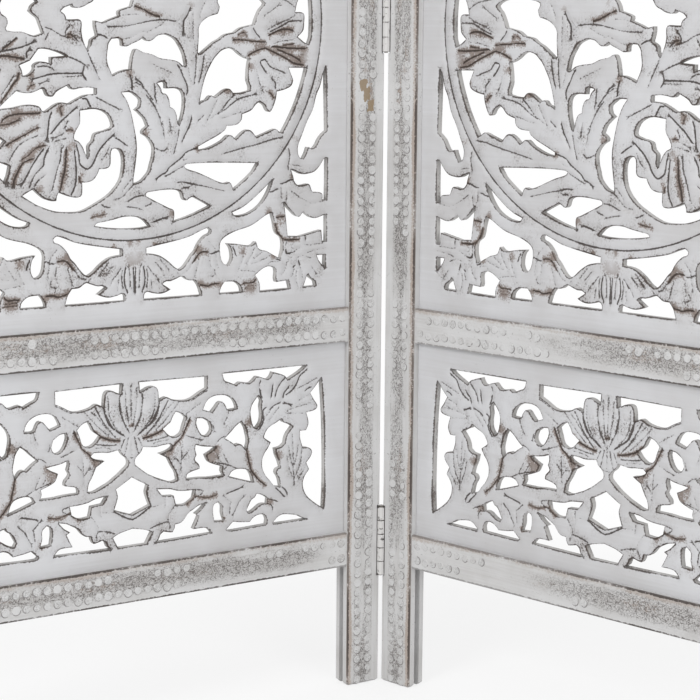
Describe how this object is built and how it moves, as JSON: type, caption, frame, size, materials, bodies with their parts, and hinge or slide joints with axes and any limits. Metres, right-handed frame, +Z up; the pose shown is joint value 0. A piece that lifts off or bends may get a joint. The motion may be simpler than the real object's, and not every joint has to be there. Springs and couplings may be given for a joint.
{
  "type": "folding screen",
  "caption": "Hinged pair of framed panels with carved openwork boards that stands in a V and folds flat to divide or shade a room.",
  "frame": {"origin": "on the floor, at the centre of the box round the screen as it stands in its V", "axes": "+Z up along the hinge axis; +X to the right as seen from the hollow side of the V, which is the side that the picture shows; +Y away from that viewer"},
  "size_m": [0.8822, 0.3416, 1.829],
  "materials": {
    "washed_frame": "worn grey-white wash over brown stipple",
    "washed_board": "worn grey-white wash, darker at the cut edges",
    "hinge_metal": "steel painted over with the wash",
    "pin_metal": "dull steel",
    "screw_metal": "dull steel"
  },
  "bodies": {
    "left_panel": {"left_inner_stile": "washed_frame", "left_outer_stile": "washed_frame", "left_bottom_rail": "washed_frame", "left_lower_lotus_board": "washed_board", "left_lower_mid_rail": "washed_frame", "left_lower_ring_board": "washed_board", "left_centre_rail": "washed_frame", "left_upper_ring_board": "washed_board", "left_upper_mid_rail": "washed_frame", "left_upper_lotus_board": "washed_board", "left_top_rail": "washed_frame", "left_hinge_leaves": "hinge_metal", "left_hinge_screws": "screw_metal", "hinge_pins": "pin_metal"},
    "right_panel": {"right_inner_stile": "washed_frame", "right_outer_stile": "washed_frame", "right_bottom_rail": "washed_frame", "right_lower_lotus_board": "washed_board", "right_lower_mid_rail": "washed_frame", "right_lower_ring_board": "washed_board", "right_centre_rail": "washed_frame", "right_upper_ring_board": "washed_board", "right_upper_mid_rail": "washed_frame", "right_upper_lotus_board": "washed_board", "right_top_rail": "washed_frame", "right_hinge_leaves": "hinge_metal", "right_hinge_screws": "screw_metal"}
  },
  "joints": [
    {"name": "fold", "type": "hinge", "parent": "left_panel", "child": "right_panel", "pos_m": [0, 0.15246, 0.9145], "axis": [0, 0, 1], "range_deg": [-105.4, 74.6]}
  ]
}
